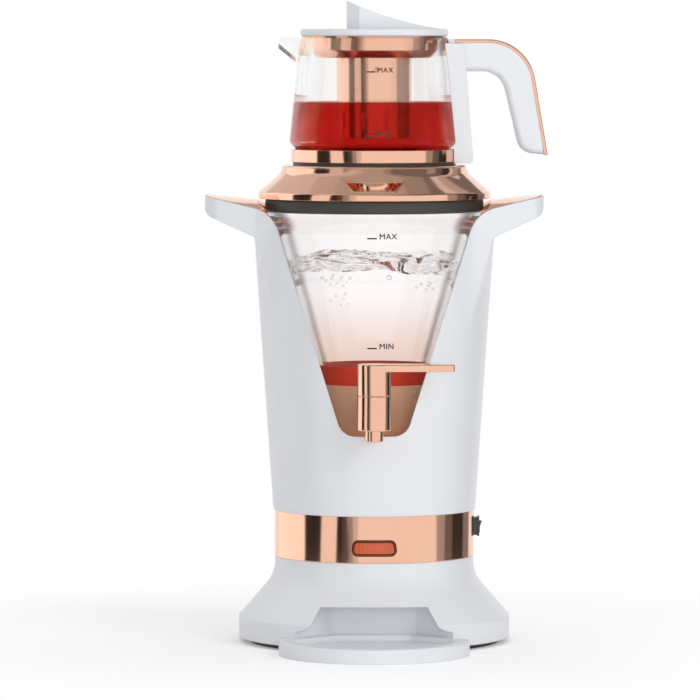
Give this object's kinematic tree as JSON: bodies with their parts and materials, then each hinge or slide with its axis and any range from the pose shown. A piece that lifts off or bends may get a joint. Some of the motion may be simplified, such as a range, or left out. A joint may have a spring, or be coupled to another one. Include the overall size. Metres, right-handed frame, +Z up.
{
  "type": "electric samovar",
  "caption": "White and rose-gold electric samovar: conical glass water tank in a V-windowed housing, lever tap, drip tray, and a glass teapot with infuser on the tank's cover.",
  "frame": {"origin": "on the tank's vertical axis, at the worktop under the foot ring", "axes": "+Z up, -Y towards the tap and drip tray, +X towards the switch and the teapot's handle"},
  "size_m": [0.2732, 0.2884, 0.5124],
  "materials": {
    "white_abs": "moulded, satin",
    "rose_gold": "polished, rose-gold plated",
    "tank_glass": "clear",
    "red_silicone": "moulded, matt",
    "dark_silicone": "moulded, matt",
    "grey_plastic": "moulded, matt",
    "black_plastic": "moulded, satin",
    "pilot_frame": "plated, dark copper",
    "pilot_orange": "clear tinted",
    "lamp_glass": "clear",
    "steel": "zinc plated",
    "brass": "turned",
    "aluminium": "cast"
  },
  "bodies": {
    "base": {"base_skirt": "white_abs", "waist_ring": "white_abs", "body_shell": "white_abs", "accent_band": "rose_gold", "handle_trim_left": "rose_gold", "handle_trim_right": "rose_gold", "tank_bowl": "rose_gold", "tap_body": "rose_gold", "tap_nozzle": "rose_gold", "tank_glass": "tank_glass", "tank_seal": "red_silicone", "foot_ring": "dark_silicone", "tap_washers": "dark_silicone", "bottom_plate": "grey_plastic", "tank_support": "grey_plastic", "switch_housing": "black_plastic", "cord_gland": "black_plastic", "terminal_block": "black_plastic", "pilot_bezel": "pilot_frame", "pilot_lens": "pilot_orange", "pilot_lamp": "lamp_glass", "base_screws": "steel", "bowl_screws": "steel", "heating_element": "steel", "boil_thermostat": "steel", "warm_thermostat": "steel", "switch_terminals": "brass", "tap_nut": "brass", "thermal_fuse": "brass", "heat_plate": "aluminium"},
    "rocker": {"switch_rocker": "black_plastic"},
    "tap": {"tap_lever": "rose_gold", "tap_plug": "brass", "lever_screw": "steel"},
    "tray": {"drip_tray": "white_abs"},
    "cover": {"tank_cover": "rose_gold", "pot_seat": "rose_gold", "gasket_holder": "rose_gold", "steam_vent": "rose_gold", "cover_gasket": "dark_silicone"},
    "teapot": {"teapot_glass": "tank_glass", "teapot_floor": "tank_glass", "teapot_base": "rose_gold", "teapot_plate": "rose_gold", "teapot_foot": "dark_silicone", "teapot_handle": "white_abs", "handle_strip": "rose_gold", "handle_screws": "steel"},
    "infuser": {"infuser_collar": "rose_gold", "infuser_plate": "rose_gold", "infuser_basket": "rose_gold", "basket_floor": "rose_gold"},
    "lid": {"lid_cap": "white_abs", "lid_spigot": "white_abs", "lid_seal": "dark_silicone"}
  },
  "joints": [
    {"name": "rocker_tilt", "type": "hinge", "parent": "base", "child": "rocker", "pos_m": [0.0812, 0, 0.092], "axis": [0, -1, 0], "range_deg": [0, 18]},
    {"name": "tap_turn", "type": "hinge", "parent": "base", "child": "tap", "pos_m": [0, -0.104, 0.203], "axis": [0, 0, -1], "range_deg": [0, 90]},
    {"name": "tray_slide", "type": "slide", "parent": "base", "child": "tray", "axis": [0, -1, 0], "range_m": [0, 0.06]},
    {"name": "cover_lift", "type": "slide", "parent": "base", "child": "cover", "axis": [0, 0, 1], "range_m": [0, 0.04]},
    {"name": "teapot_lift", "type": "slide", "parent": "cover", "child": "teapot", "axis": [0, 0, 1], "range_m": [0, 0.06]},
    {"name": "infuser_lift", "type": "slide", "parent": "teapot", "child": "infuser", "axis": [0, 0, 1], "range_m": [0, 0.085]},
    {"name": "lid_lift", "type": "slide", "parent": "infuser", "child": "lid", "axis": [0, 0, 1], "range_m": [0, 0.04]}
  ]
}
